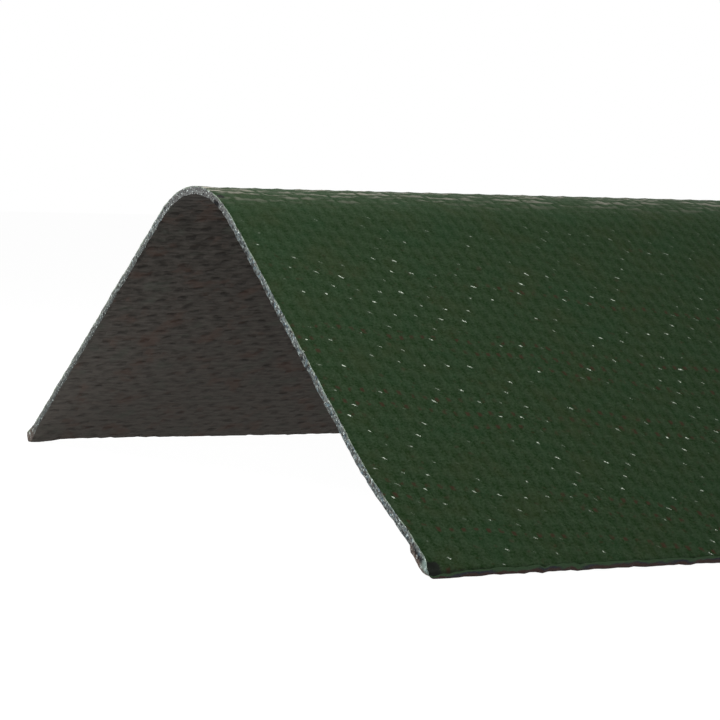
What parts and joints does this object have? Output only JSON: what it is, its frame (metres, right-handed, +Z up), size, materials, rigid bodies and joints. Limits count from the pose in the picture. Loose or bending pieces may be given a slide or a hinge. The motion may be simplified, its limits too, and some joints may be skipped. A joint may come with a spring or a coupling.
{
  "type": "roof ridge cap",
  "caption": "Folded ridge cap of woven-textured fibre sheet with a rounded crown, painted outside, to cover the joint along the top of a pitched roof.",
  "frame": {"origin": "on the floor under the crown, midway along the length: centre of the bounding box's bottom", "axes": "+X along the ridge, +Y across it towards one wing, +Z up out of the crown; the cap stands on its two long edges"},
  "size_m": [1, 0.3316, 0.1023],
  "materials": {
    "coated_fibre_sheet": "matte"
  },
  "bodies": {
    "root": {"ridge_cap": "coated_fibre_sheet"}
  },
  "joints": []
}
